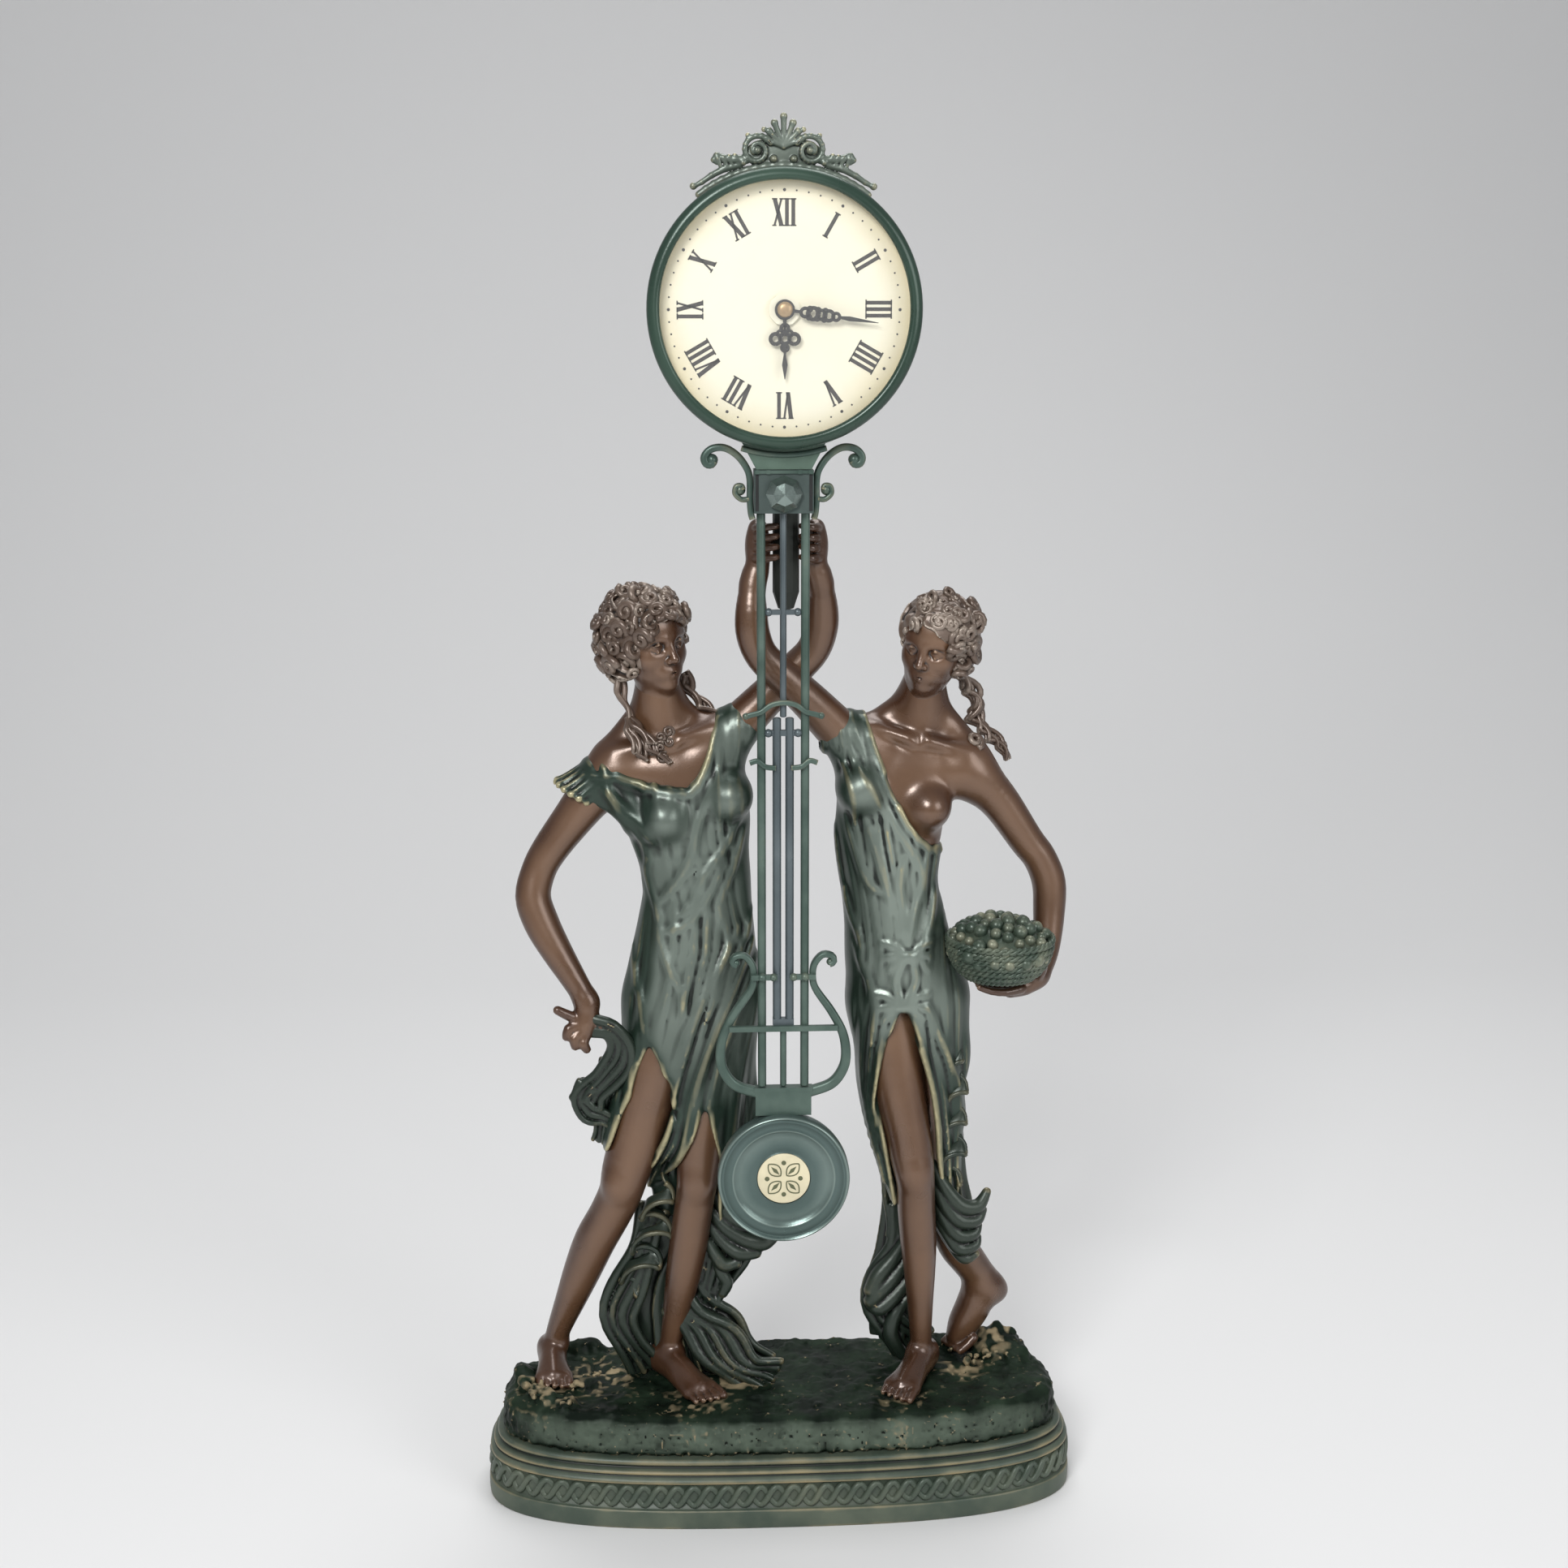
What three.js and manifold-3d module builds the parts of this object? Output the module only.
// Figural table clock: two draped figures on an oval plinth hold up the pivot of a swinging clock.
// Millimetres, +Z up, +X to the viewer's right, the front faces -Y, origin in the middle of the underside.
import * as THREE from "three";
import Module from "manifold-3d";
import { mergeVertices } from "three/addons/utils/BufferGeometryUtils.js";

const wasm = await Module();
wasm.setup();

// Fits
const SEAT = 0.3; // gap between pieces that rest on each other
const RUN = 0.1; // running clearance round a turning shaft

// Plinth and mound
const BASE_HALF_LENGTH = 155;
const BASE_HALF_DEPTH = 57;
const BASE_CORNER = 2.8; // superellipse exponent of every base outline
const BASE_SIDES = 32;
const FOOT_HEIGHT = 10.5;
const BAND_HEIGHT = 11.5;
const CYMA_HEIGHT = 5;
const FILLET_HEIGHT = 3;
const BEAD_HEIGHT = 6;
const CYMA_INSET = 4;
const BEAD_INSET = 6.5;
const BASE_WALL = 10;
const BASE_TOP_THICKNESS = 7;
const COVER_THICKNESS = 3;
const MOUND_INSET = 8;
const FRIEZE_HEIGHT = 16.5;
const MOUND_SHOULDER = 4;
// Rocks on the mound: shares of the base's half length and half depth, then half sizes
const ROCKS = [
  { at: [-0.884, 0.14], size: [6.5, 10, 6] },
  { at: [-0.684, 0.632], size: [12, 7, 6] },
  { at: [0.748, 0.526], size: [14, 10, 8] },
  { at: [0.826, 0.246], size: [9, 9, 7] },
  { at: [0.568, 0.596], size: [13, 8, 5] },
];

// Support and pivot, heights above the ground of the mound
const PIVOT_HEIGHT = 471;
const PENDULUM_Y = -36;
const STEM_X = 2.5;
const STEM_Y = -13;
const STEM_HALF_WIDTH = 6.5;
const STEM_HALF_DEPTH = 5;
const STEM_LENGTH = 58;
const STEM_HEAD_RADIUS = 9;
const STEM_HEAD_LENGTH = 16;
const PIN_RADIUS = 3;
const PIN_COLLAR_RADIUS = 6;
const PIN_NOSE = 2.6; // pin length in front of the block
const BUSH_WALL = 2.8;
const CLIP_THICKNESS = 1.3;
const CLIP_WALL = 2.6;

// Pivot block with its horns
const BLOCK_HALF_WIDTH = 14;
const BLOCK_DEPTH = 16;
const BLOCK_ABOVE = 11;
const BLOCK_BELOW = 9.3;
const ROSETTE_RADIUS = 8.7;
const ROSETTE_HEIGHT = 7.7;
const ROSETTE_WALL = 1.8;
const ROSETTE_FACETS = 8;
const HORN_THICKNESS = 3;
const HORN_DEPTH = 5;
const SADDLE_RISE = 13;
const SADDLE_SPREAD = THREE.MathUtils.degToRad(21);

// Clock head, measured from the dial's centre
const DIAL_RADIUS = 57.5;
const DRUM_WALL = 2;
const DRUM_FRONT = 16;
const DRUM_BACK = 22;
const BEZEL_LIP = 1.7;
const BEZEL_WALL = 2.7;
const BEZEL_FRONT = 5;
const BEZEL_SKIRT = 6;
const LENS_THICKNESS = 2;
const LENS_CROWN = 2.4;
const DIAL_THICKNESS = 1.2;
const DIAL_SETBACK = 4.2;
const LEDGE_WIDTH = 3.5;
const LEDGE_THICKNESS = 2;
const COVER_FLANGE = 1.7;
const COVER_PLUG = 5;
const CREST_DEPTH = 6;
const CREST_SETBACK = 1;
const ROUND_SIDES = 32;

// Movement behind the dial
const CASE_WIDTH = 56;
const CASE_DEPTH = 18;
const CASE_WALL = 1.5;
const BATTERY_RADIUS = 7.2;
const BATTERY_LENGTH = 50.5;
const BATTERY_HEIGHT = 18.5;
const ARBOR_RADIUS = 1.2;
const TUBE_WALL = 1;
const BUSHING_WALL = 1.6;
const NUT_THICKNESS = 1.6;
const NUT_RADIUS = 7.4;
const GEAR_MODULE = 0.8;
const CANNON_TEETH = 6;
const MINUTE_WHEEL_TEETH = 18;
const MINUTE_PINION_TEETH = 6;
const HOUR_WHEEL_TEETH = 24;
const GEAR_WIDTH = 2.4;
const KNOB_RADIUS = 6;
const KNOB_LENGTH = 5;
const DRIVE_LENGTH = 18;
const DRIVE_WEIGHT_RADIUS = 7;
const DRIVE_DEPTH = 3;

// Hands
const HOUR_HAND_LENGTH = 31.5;
const MINUTE_HAND_LENGTH = 43.5;
const HAND_THICKNESS = 0.6;
const HAND_STEP = 0.7; // room between one hand and the next
const HAND_NUT_RADIUS = 3.6;
const HAND_NUT_HEIGHT = 1.4;
const HOUR_HAND_ANGLE = THREE.MathUtils.degToRad(-90);
const MINUTE_HAND_ANGLE = THREE.MathUtils.degToRad(-7.9);

// Rods, lyre and bob, drops below the pivot
const OUTER_ROD_X = 10.6;
const OUTER_ROD_RADIUS = 2.1;
const INNER_ROD_X = 3.1;
const INNER_ROD_RADIUS = 2.1;
const CENTRE_ROD_RADIUS = 1.6;
const STUB_DROP = 57;
const ARCH_DROP = 102;
const ARCH_HALF_WIDTH = 19;
const WAVE_DROP = 131;
const LOWER_CLIP_DROP = 238;
const INNER_FOOT_DROP = 260;
const INNER_FOOT_HEIGHT = 4;
const CROSSBAR_DROP = 264.5;
const NECK_DROP = 296;
const NECK_HEIGHT = 14;
const NECK_HALF_WIDTH = 14;
const LYRE_THICKNESS = 3.2;
const LYRE_DEPTH = 5;
const CLIP_HEIGHT = 2.6;
const CLIP_DEPTH = 2.2;
const BOB_RADIUS = 33.3;
const BOB_FRONT_DEPTH = 7;
const BOB_BACK_DEPTH = 6;
const BOB_RIM = 4;
const BOB_DISH = 3;
const ROUNDEL_RADIUS = 13.3;
const ROUNDEL_THICKNESS = 1.2;

// Heights and offsets that follow from the sizes above
const PLINTH_TOP = FOOT_HEIGHT + BAND_HEIGHT + CYMA_HEIGHT + FILLET_HEIGHT + BEAD_HEIGHT;
const GROUND = PLINTH_TOP + SEAT + FRIEZE_HEIGHT + MOUND_SHOULDER;
const DRUM_RADIUS = DIAL_RADIUS + 1 + DRUM_WALL;
const DIAL_RISE = BLOCK_ABOVE + SADDLE_RISE + DRUM_RADIUS;
const BOB_DROP = NECK_DROP + NECK_HEIGHT + BOB_RADIUS;
const UP = new THREE.Vector3(0, 0, 1);
const DEEP = new THREE.Vector3(0, 1, 0);

// Finishes
const finish = (color, roughness, metalness) =>
  new THREE.MeshStandardMaterial({ color, roughness, metalness });
const FINISHES = {
  skin: finish(0x63463a, 0.42, 0.25),
  dress: finish(0x2f433a, 0.45, 0.3),
  ground: finish(0x33423a, 0.6, 0.15),
  patina: finish(0x4a5c55, 0.45, 0.45),
  steel: finish(0x8a8f92, 0.35, 0.9),
  brass: finish(0xa98a4e, 0.35, 0.9),
  dial: finish(0xf1e6c4, 0.6, 0),
  glass: finish(0xdde6e6, 0.05, 0),
  black: finish(0x17181a, 0.4, 0.4),
  plastic: finish(0x2a2b2d, 0.6, 0),
  felt: finish(0x24352c, 0.95, 0),
  fruit: finish(0x4b5344, 0.5, 0.2),
};

// Solids from geometry
function solidOf(geometry) {
  const bare = geometry.index ? geometry.toNonIndexed() : geometry.clone();
  bare.deleteAttribute("normal");
  bare.deleteAttribute("uv");
  const merged = mergeVertices(bare, 1e-4);
  const corners = merged.index.array;
  const kept = [];
  for (let i = 0; i < corners.length; i += 3) {
    const [a, b, c] = corners.slice(i, i + 3);
    if (a !== b && b !== c && c !== a) kept.push(a, b, c);
  }
  const vertProperties = new Float32Array(merged.attributes.position.array);
  return new wasm.Manifold(new wasm.Mesh({ numProp: 3, vertProperties, triVerts: new Uint32Array(kept) }));
}

function geometryOf(solid) {
  const mesh = solid.getMesh();
  const geometry = new THREE.BufferGeometry();
  geometry.setAttribute("position", new THREE.BufferAttribute(mesh.vertProperties, 3));
  geometry.setIndex(new THREE.BufferAttribute(mesh.triVerts, 1));
  geometry.computeVertexNormals();
  return geometry;
}

const join = (first, ...rest) => rest.reduce((whole, next) => whole.add(next), first);
const cut = (first, ...tools) => tools.reduce((whole, tool) => whole.subtract(tool), first);

// The largest body of a solid, without crumbs left by cuts
function largest(solid) {
  const bodies = solid.decompose();
  return bodies.sort((a, b) => b.volume() - a.volume())[0];
}

function piece(group, name, solid, material) {
  const mesh = new THREE.Mesh(geometryOf(solid), material);
  mesh.name = name;
  group.add(mesh);
}

// A box from its lowest to its highest corner
function box(low, high) {
  const size = high.map((value, i) => value - low[i]);
  const middle = high.map((value, i) => (value + low[i]) / 2);
  return solidOf(new THREE.BoxGeometry(...size).translate(...middle));
}

// A turned form about the Y axis through (x, z), from [radius, y] points
function turned(profile, sides, x = 0, z = 0) {
  const points = profile.map(([radius, y]) => new THREE.Vector2(radius, y));
  const lathed = () => solidOf(new THREE.LatheGeometry(points, sides).translate(x, 0, z));
  const solid = lathed();
  if (solid.volume() > 0) return solid;
  points.reverse();
  return lathed();
}

const disc = (radius, front, back, sides, x = 0, z = 0) =>
  turned([[0, front], [radius, front], [radius, back], [0, back]], sides, x, z);

const ring = (inner, outer, front, back, sides) =>
  turned([[inner, front], [outer, front], [outer, back], [inner, back], [inner, front]], sides);

// An upright round rod
function rod(x, y, low, high, radius, sides = 10) {
  const height = high - low;
  const geometry = new THREE.CylinderGeometry(radius, radius, height, sides);
  return solidOf(geometry.rotateX(Math.PI / 2).translate(x, y, (low + high) / 2));
}

// A flat plate in the XZ plane between two depths
function plate(shape, front, back, curveSegments = 10) {
  const depth = back - front;
  const geometry = new THREE.ExtrudeGeometry(shape, { depth, bevelEnabled: false, curveSegments });
  return solidOf(geometry.rotateX(Math.PI / 2).translate(0, back, 0));
}

const outline = (points) => new THREE.Shape(points.map(([x, z]) => new THREE.Vector2(x, z)));

// A bar of rectangular section along a smooth path of [x, z] points
function scroll(points, y, thickness, depth, steps) {
  const path = new THREE.CatmullRomCurve3(points.map(([x, z]) => new THREE.Vector3(x, y, z)));
  const section = new THREE.Shape();
  section.moveTo(-depth / 2, -thickness / 2);
  section.lineTo(depth / 2, -thickness / 2);
  section.lineTo(depth / 2, thickness / 2);
  section.lineTo(-depth / 2, thickness / 2);
  return solidOf(new THREE.ExtrudeGeometry(section, { steps, extrudePath: path }));
}

const mirrored = (points) => points.map(([x, ...rest]) => [-x, ...rest]);

// Stations [x, y, z, half width, half depth, fold] made closer by a Catmull-Rom spline
function refine(stations, between) {
  const full = stations.map(([x, y, z, wide, deep = wide, fold = 0]) => [x, y, z, wide, deep, fold]);
  const last = full.length - 1;
  const dense = [];
  for (let i = 0; i < last; i++) {
    const [p, q, r, s] = [Math.max(i - 1, 0), i, i + 1, Math.min(i + 2, last)].map((k) => full[k]);
    for (let k = 0; k < between; k++) {
      const t = k / between;
      const blend = (a, b, c, d) =>
        b + 0.5 * t * (c - a + t * (2 * a - 5 * b + 4 * c - d + t * (3 * (b - c) + d - a)));
      dense.push(q.map((_, n) => blend(p[n], q[n], r[n], s[n])));
    }
  }
  dense.push(full[last]);
  return dense;
}

// A closed form through elliptical sections; folds flute the sections, grow makes the form larger all round
function loft(stations, sides, { grow = 0, folds = 0, between = 1 } = {}) {
  const rows = refine(stations, between);
  const centres = rows.map(([x, y, z]) => new THREE.Vector3(x, y, z));
  const run = centres.at(-1).clone().sub(centres[0]).normalize();
  const lead = Math.abs(run.y) < 0.7 ? DEEP : UP;
  const points = [];
  const ends = [];
  rows.forEach(([, , , wide, deep, fold], i) => {
    const ahead = centres[Math.min(i + 1, rows.length - 1)];
    const behind = centres[Math.max(i - 1, 0)];
    const along = ahead.clone().sub(behind).normalize();
    const front = lead.clone().addScaledVector(along, -lead.dot(along)).normalize();
    const side = new THREE.Vector3().crossVectors(front, along);
    for (let k = 0; k < sides; k++) {
      const angle = (2 * Math.PI * k) / sides;
      const flute = 1 + fold * Math.cos(folds * angle);
      const point = centres[i].clone();
      point.addScaledVector(side, (wide * flute + grow) * Math.cos(angle));
      point.addScaledVector(front, (deep * flute + grow) * Math.sin(angle));
      points.push(point);
    }
    const tip = 0.45 * Math.min(wide, deep) + grow;
    if (i === 0) ends.push(centres[0].clone().addScaledVector(along, -tip));
    if (i === rows.length - 1) ends.push(centres[i].clone().addScaledVector(along, tip));
  });
  const first = points.push(ends[0]) - 1;
  const final = points.push(ends[1]) - 1;
  const corners = [];
  const top = (rows.length - 1) * sides;
  for (let k = 0; k < sides; k++) {
    const next = (k + 1) % sides;
    corners.push(first, next, k, final, top + k, top + next);
    for (let row = 0; row < top; row += sides) {
      corners.push(row + k, row + next, row + sides + next, row + k, row + sides + next, row + sides + k);
    }
  }
  const geometry = new THREE.BufferGeometry().setFromPoints(points);
  geometry.setIndex(corners);
  const solid = solidOf(geometry);
  if (solid.volume() > 0) return solid;
  geometry.setIndex(corners.reverse());
  return solidOf(geometry);
}

// A rounded lump with three half sizes, turned about the upright axis
function lump([x, y, z], [wide, deep, high], turn = 0, detail = 1) {
  const geometry = new THREE.IcosahedronGeometry(1, detail);
  return solidOf(geometry.scale(wide, deep, high).rotateZ(turn).translate(x, y, z));
}

// Base: rings of one superellipse outline at [inset, height]
function baseOutline(inset) {
  const points = [];
  const bend = (value) => Math.sign(value) * Math.abs(value) ** (2 / BASE_CORNER);
  for (let k = 0; k < BASE_SIDES; k++) {
    const angle = (2 * Math.PI * k) / BASE_SIDES;
    const x = (BASE_HALF_LENGTH - inset) * bend(Math.cos(angle));
    points.push([x, (BASE_HALF_DEPTH - inset) * bend(Math.sin(angle))]);
  }
  return points;
}

function baseRings(levels) {
  const ringAt = ([inset, z]) => baseOutline(inset).map(([x, y]) => new THREE.Vector3(x, y, z));
  const points = levels.flatMap(ringAt);
  const bottom = points.push(new THREE.Vector3(0, 0, levels[0][1])) - 1;
  const top = points.push(new THREE.Vector3(0, 0, levels.at(-1)[1])) - 1;
  const last = (levels.length - 1) * BASE_SIDES;
  const corners = [];
  for (let k = 0; k < BASE_SIDES; k++) {
    const next = (k + 1) % BASE_SIDES;
    corners.push(bottom, next, k, top, last + k, last + next);
    for (let row = 0; row < last; row += BASE_SIDES) {
      const above = row + BASE_SIDES;
      corners.push(row + k, row + next, above + next, row + k, above + next, above + k);
    }
  }
  const geometry = new THREE.BufferGeometry().setFromPoints(points);
  geometry.setIndex(corners);
  return solidOf(geometry);
}

function rockForms(height, grow = 0) {
  return ROCKS.map(({ at: [alongShare, deepShare], size }) => {
    const place = [alongShare * BASE_HALF_LENGTH, deepShare * BASE_HALF_DEPTH, height];
    return lump(place, size.map((half) => half + grow));
  });
}

const clock = new THREE.Group();

function addBase() {
  const bandFoot = FOOT_HEIGHT;
  const bandTop = bandFoot + BAND_HEIGHT;
  const cymaTop = bandTop + CYMA_HEIGHT;
  const filletTop = cymaTop + FILLET_HEIGHT;
  const edge = 0.8;
  const body = baseRings([
    [edge, 0],
    [0, edge],
    [0, bandFoot - edge],
    [2 * edge, bandFoot],
    [2 * edge, bandTop],
    [CYMA_INSET, cymaTop],
    [CYMA_INSET, filletTop],
    [BEAD_INSET + edge, filletTop + edge],
    [BEAD_INSET, (filletTop + PLINTH_TOP) / 2],
    [BEAD_INSET + edge, PLINTH_TOP],
  ]);
  const hollow = baseRings([
    [BASE_WALL, -1],
    [BASE_WALL, PLINTH_TOP - BASE_TOP_THICKNESS],
  ]);
  piece(clock, "base_plinth", cut(body, hollow), FINISHES.ground);
  const cover = baseRings([
    [BASE_WALL + SEAT, 0],
    [BASE_WALL + SEAT, COVER_THICKNESS],
  ]);
  piece(clock, "base_cover", cover, FINISHES.felt);
  const moundFoot = PLINTH_TOP + SEAT;
  const lip = moundFoot + FRIEZE_HEIGHT;
  const ground = baseRings([
    [MOUND_INSET + 1, moundFoot],
    [MOUND_INSET, moundFoot + 1],
    [MOUND_INSET + 1, lip],
    [MOUND_INSET + 2.2, lip + 0.6 * MOUND_SHOULDER],
    [MOUND_INSET + 6, GROUND],
  ]);
  piece(clock, "base_mound", join(ground, ...rockForms(GROUND)), FINISHES.ground);
}

// The figures stand on the ground of the mound; their points are measured from it
const figures = new THREE.Group();
figures.position.z = GROUND;
clock.add(figures);

const aboveGround = box(
  [-BASE_HALF_LENGTH, -BASE_HALF_DEPTH, SEAT],
  [BASE_HALF_LENGTH, BASE_HALF_DEPTH, 600],
);
const LIMB_SIDES = 8;
const GRIP = PIVOT_HEIGHT - 26; // middle of the raised hands

// A limb and the slightly larger form that clears it in its neighbours
function limb(stations, sides = LIMB_SIDES, between = 1) {
  const whole = loft(stations, sides, { between });
  return { whole, room: loft(stations, sides, { between, grow: SEAT }) };
}

function foot(heel, toe, width) {
  const way = (share, rise, half, tall) => [
    heel[0] + share * (toe[0] - heel[0]),
    heel[1] + share * (toe[1] - heel[1]),
    heel[2] + share * (toe[2] - heel[2]) + rise,
    half,
    tall,
  ];
  const rows = [
    way(0, 7, 0.75 * width, 6.5),
    way(0.3, 8, 0.8 * width, 8),
    way(0.62, 5, width, 5),
    way(0.92, 3, 0.95 * width, 2.8),
  ];
  return limb(rows, 8, 1);
}

function finger(points, radius) {
  const rows = points.map(([x, y, z], i) => [x, y, z, radius * (1 - 0.12 * i)]);
  return loft(rows, 6);
}

// A hand closed round the stem: a palm beside it and four fingers across its front
function grippingHand(side, wrist, grip, reach) {
  const outer = STEM_HALF_WIDTH + SEAT;
  const across = (away) => STEM_X + side * (outer + away);
  const palmX = across(6 - reach);
  const rows = [
    [...wrist, 5.4, 4.6],
    [palmX, STEM_Y, grip - 8, 4.2, 6.5],
    [palmX, STEM_Y, grip + 8, 3.8, 6.2],
  ];
  const fingers = [-7.5, -2.5, 2.5, 7.5].map((rise) =>
    finger(
      [
        [across(6.5 - reach), STEM_Y - 3, grip + rise],
        [across(4.5 - reach), STEM_Y - STEM_HALF_DEPTH - 4, grip + rise + 0.8],
        [across(-reach), STEM_Y - STEM_HALF_DEPTH - 3.6, grip + rise + 1],
      ],
      2.3,
    ),
  );
  return join(loft(rows, 8), ...fingers);
}

function stemForm(grow) {
  const rows = [
    [STEM_X, STEM_Y, PIVOT_HEIGHT - STEM_LENGTH, 0.6 * STEM_HALF_WIDTH, 0.6 * STEM_HALF_DEPTH],
    [STEM_X, STEM_Y, PIVOT_HEIGHT - STEM_LENGTH + 8, STEM_HALF_WIDTH, STEM_HALF_DEPTH],
    [STEM_X, STEM_Y, PIVOT_HEIGHT - 4, STEM_HALF_WIDTH, STEM_HALF_DEPTH],
  ];
  const front = STEM_Y - STEM_HEAD_LENGTH / 2 - grow;
  const back = STEM_Y + STEM_HEAD_LENGTH / 2 + grow;
  const head = disc(STEM_HEAD_RADIUS + grow, front, back, 20, 0, PIVOT_HEIGHT);
  return join(loft(rows, 12, { grow }), head);
}

// The left figure's raised arm, which the right figure's arm clears
const LEFT_WRIST = [19.5, -9, GRIP - 20];
const LEFT_RAISED_ARM = [
  [-30, 6, 341, 10.5],
  [-8, 5, 364, 9.8],
  [12, 3, 384, 8.6],
  [20, 1, 396, 8.2],
  [21, -3, 411, 8],
  [...LEFT_WRIST, 5.8],
];

const JAW_SIZE = [12, 14, 17];
const jawRoom = (place, turn) => lump(place, JAW_SIZE.map((half) => half + 1), turn);

function addLeftFigure() {
  const turn = THREE.MathUtils.degToRad(38);
  const jaw = [-57, -5, 386];
  const bust = limb(
    [
      [-50, 4, 312, 28, 15],
      [-54, 4, 329, 37, 15],
      [-56, 4, 340, 31, 13],
      [-58, 4, 350, 18, 11.5],
      [-60, 4, 362, 11, 11],
      [-61, 3, 378, 10.5, 10.5],
    ],
    14,
  );
  const face = [lump(jaw, JAW_SIZE, turn), lump([-67, 4, 401], [20, 23, 21], turn, 2)];
  const hairLumps = [
    [[-82, 10, 392], [9, 11, 15]],
    [[-70, 10, 412], [16, 15, 9]],
    [[-70, 18, 394], [13, 12, 18]],
  ];
  const chestCurl = loft(
    [
      [-71, -4, 372, 4],
      [-66, -7, 354, 4.5, 3.5],
      [-58, -9, 342, 5, 3],
      [-55, -11, 330, 3.5, 2.5],
    ],
    8,
  );
  const head = join(bust.whole, ...face, ...hairLumps.map(([place, size]) => lump(place, size)), chestCurl);
  piece(figures, "left_figure_head", head, FINISHES.skin);
  const bustRoom = join(bust.room, jawRoom(jaw, turn));

  const raised = limb(LEFT_RAISED_ARM);
  const grip = grippingHand(1, LEFT_WRIST, GRIP, -1.5);
  const raisedArm = cut(join(raised.whole, grip), stemForm(SEAT), bustRoom);
  piece(figures, "left_figure_raised_arm", raisedArm, FINISHES.skin);

  const wristOut = [-98, -10, 213];
  const lowered = limb([
    [-88, 4, 324, 11.5],
    [-104, 4, 306, 10],
    [-121, 3, 282, 8.6],
    [-125, 1, 266, 8.4],
    [-116, -4, 242, 8.4],
    [...wristOut, 6.2],
  ]);
  const palm = loft([[...wristOut, 5.4, 4.4], [-99, -12, 203, 6.5, 4], [-100, -13, 197, 6, 3.6]], 8);
  const fingers = [
    finger([[-103, -13, 203], [-109, -15, 208], [-115, -16, 213]], 2.2),
    finger([[-104, -14, 199], [-110, -16, 199], [-113, -16, 193]], 2.2),
    finger([[-102, -14, 198], [-105, -16, 192], [-105, -15, 186]], 2.2),
    finger([[-98, -14, 197], [-98, -15, 190], [-96, -14, 184]], 2.2),
    finger([[-95, -12, 205], [-91, -14, 200], [-89, -14, 196]], 2.4),
  ];
  const loweredArm = cut(join(lowered.whole, palm, ...fingers), bustRoom);
  piece(figures, "left_figure_lowered_arm", loweredArm, FINISHES.skin);

  const scarfRows = [
    [-90, -11, 199, 4, 3],
    [-82, -9, 194, 7, 4],
    [-84, -7, 180, 7, 5],
    [-98, -6, 163, 7, 5],
    [-91, -4, 150, 6, 5],
    [-90, -2, 138, 4, 3],
  ];
  const armRoom = join(lowered.room, ...[palm, ...fingers].map((form) => form.translate([0, 0, -SEAT])));
  const scarfForm = loft(scarfRows, 10);
  const scarf = cut(scarfForm, armRoom, palm, ...fingers, palm.translate([-SEAT, 0, 0]));
  const scarfRoom = loft(scarfRows, 10, { grow: SEAT });

  const outer = limb([
    [-60, 4, 205, 17],
    [-68, -1, 160, 15.5],
    [-79, -3, 122, 13],
    [-83, -3, 108, 12],
    [-97, 3, 80, 11],
    [-111, 11, 40, 8.5],
    [-121, 17, 13, 6.8],
    [-122, 18, 8, 6.4],
  ]);
  const outerFoot = foot([-123, 24, SEAT], [-118, -14, SEAT], 8.5);
  const outerLeg = cut(join(outer.whole, outerFoot.whole), ...rockForms(0, SEAT)).intersect(aboveGround);
  piece(figures, "left_figure_outer_leg", largest(outerLeg), FINISHES.skin);
  const inner = limb([
    [-33, 3, 205, 16],
    [-38, -3, 160, 14],
    [-42, -7, 122, 11.5],
    [-44, -7, 106, 10.5],
    [-48, -2, 78, 10],
    [-54, 3, 45, 7.8],
    [-58, 6, 14, 6],
    [-59, 6, 8, 6],
  ]);
  const innerFoot = foot([-66, 11, SEAT], [-35, -35, SEAT], 8.5);
  const innerLeg = cut(join(inner.whole, innerFoot.whole), outer.room).intersect(aboveGround);
  piece(figures, "left_figure_inner_leg", largest(innerLeg), FINISHES.skin);
  const legRoom = [outer.room, inner.room, outerFoot.room, innerFoot.room];

  const gown = loft(
    [
      [-52, 3, 325, 38.5, 19],
      [-46, 3, 306, 32, 21.5],
      [-42, 5, 288, 29, 19.5],
      [-40, 6, 271, 28, 18.5],
      [-42, 6, 248, 29, 20.5],
      [-45, 6, 213, 32, 23, 0.02],
      [-44, 6, 183, 31, 22, 0.04],
      [-42, 7, 148, 31, 20, 0.07],
      [-37, 8, 118, 32, 17, 0.1],
      [-32, 9, 95, 30, 14, 0.14],
    ],
    24,
    { folds: 8 },
  );
  const breasts = [lump([-57, -11, 308], [10, 10, 10]), lump([-25, -11, 319], [9.5, 10, 10])];
  const strap = loft(
    [
      [-27, -8, 322, 8, 5],
      [-27, -3, 337, 8, 8],
      [-28, 7, 350, 7, 7],
      [-30, 16, 330, 8, 5],
    ],
    8,
  );
  const sleeve = loft([[-84, 4, 322, 12, 15], [-93, 4, 320, 7, 15], [-99, 4, 308, 5, 13]], 10);
  const lowerRoom = [lowered.room, bust.room, raised.room, ...legRoom, scarfRoom];
  const dress = cut(join(gown, ...breasts, strap, sleeve), ...lowerRoom);
  piece(figures, "left_figure_dress", largest(dress), FINISHES.dress);
  piece(figures, "left_figure_scarf", largest(cut(scarf, outer.room)), FINISHES.dress);

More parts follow.
